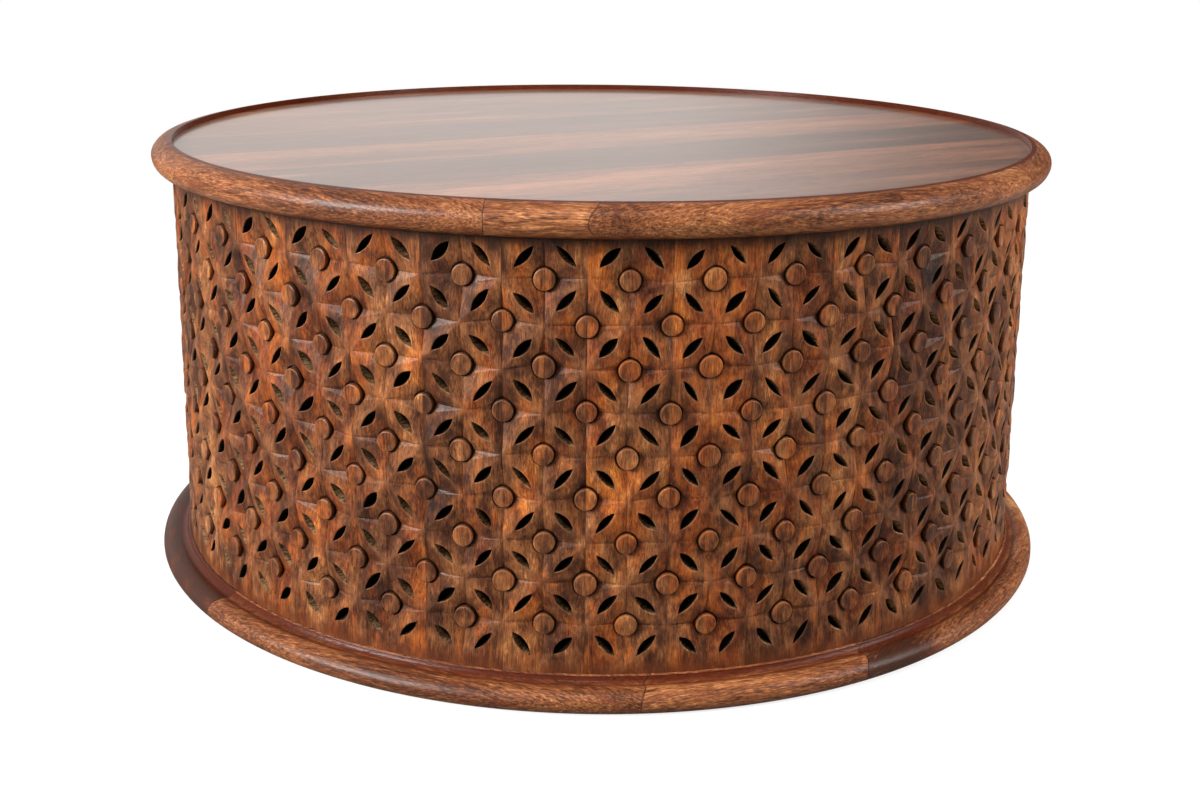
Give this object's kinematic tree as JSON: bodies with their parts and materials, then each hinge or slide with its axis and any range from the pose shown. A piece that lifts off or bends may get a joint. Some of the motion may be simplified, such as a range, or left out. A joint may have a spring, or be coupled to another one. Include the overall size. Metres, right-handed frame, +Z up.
{
  "type": "carved drum coffee table",
  "caption": "Round hardwood drum coffee table with pierced, button-carved staves, a bullnose rim round a recessed plank top, and a moulded base ring.",
  "frame": {"origin": "on the floor under the centre of the table", "axes": "+Z up, -Y towards the front, +X to the right as seen from the front"},
  "size_m": [0.932, 0.932, 0.427],
  "materials": {
    "stave_wood": "dark stained carved hardwood, satin, worn paler on the ribs",
    "rim_wood": "stained hardwood, satin lacquer",
    "base_wood": "stained hardwood, satin lacquer",
    "top_wood": "stained edge-glued planks, semi-gloss lacquer",
    "block_wood": "plain unfinished hardwood",
    "screw_steel": "zinc plated"
  },
  "bodies": {
    "root": {"stave_01": "stave_wood", "stave_02": "stave_wood", "stave_03": "stave_wood", "stave_04": "stave_wood", "stave_05": "stave_wood", "stave_06": "stave_wood", "stave_07": "stave_wood", "stave_08": "stave_wood", "stave_09": "stave_wood", "stave_10": "stave_wood", "stave_11": "stave_wood", "stave_12": "stave_wood", "stave_13": "stave_wood", "stave_14": "stave_wood", "stave_15": "stave_wood", "stave_16": "stave_wood", "stave_17": "stave_wood", "stave_18": "stave_wood", "stave_19": "stave_wood", "stave_20": "stave_wood", "stave_21": "stave_wood", "stave_22": "stave_wood", "stave_23": "stave_wood", "stave_24": "stave_wood", "stave_25": "stave_wood", "stave_26": "stave_wood", "stave_27": "stave_wood", "stave_28": "stave_wood", "stave_29": "stave_wood", "stave_30": "stave_wood", "stave_31": "stave_wood", "stave_32": "stave_wood", "stave_33": "stave_wood", "stave_34": "stave_wood", "stave_35": "stave_wood", "stave_36": "stave_wood", "stave_37": "stave_wood", "stave_38": "stave_wood", "stave_39": "stave_wood", "stave_40": "stave_wood", "rim_segment_1": "rim_wood", "rim_segment_2": "rim_wood", "rim_segment_3": "rim_wood", "rim_segment_4": "rim_wood", "rim_segment_5": "rim_wood", "rim_segment_6": "rim_wood", "rim_segment_7": "rim_wood", "base_segment_1": "base_wood", "base_segment_2": "base_wood", "base_segment_3": "base_wood", "base_segment_4": "base_wood", "base_segment_5": "base_wood", "base_segment_6": "base_wood", "base_segment_7": "base_wood", "top_planks": "top_wood", "head_blocks": "block_wood", "foot_blocks": "block_wood", "battens": "block_wood", "screws": "screw_steel"}
  },
  "joints": []
}
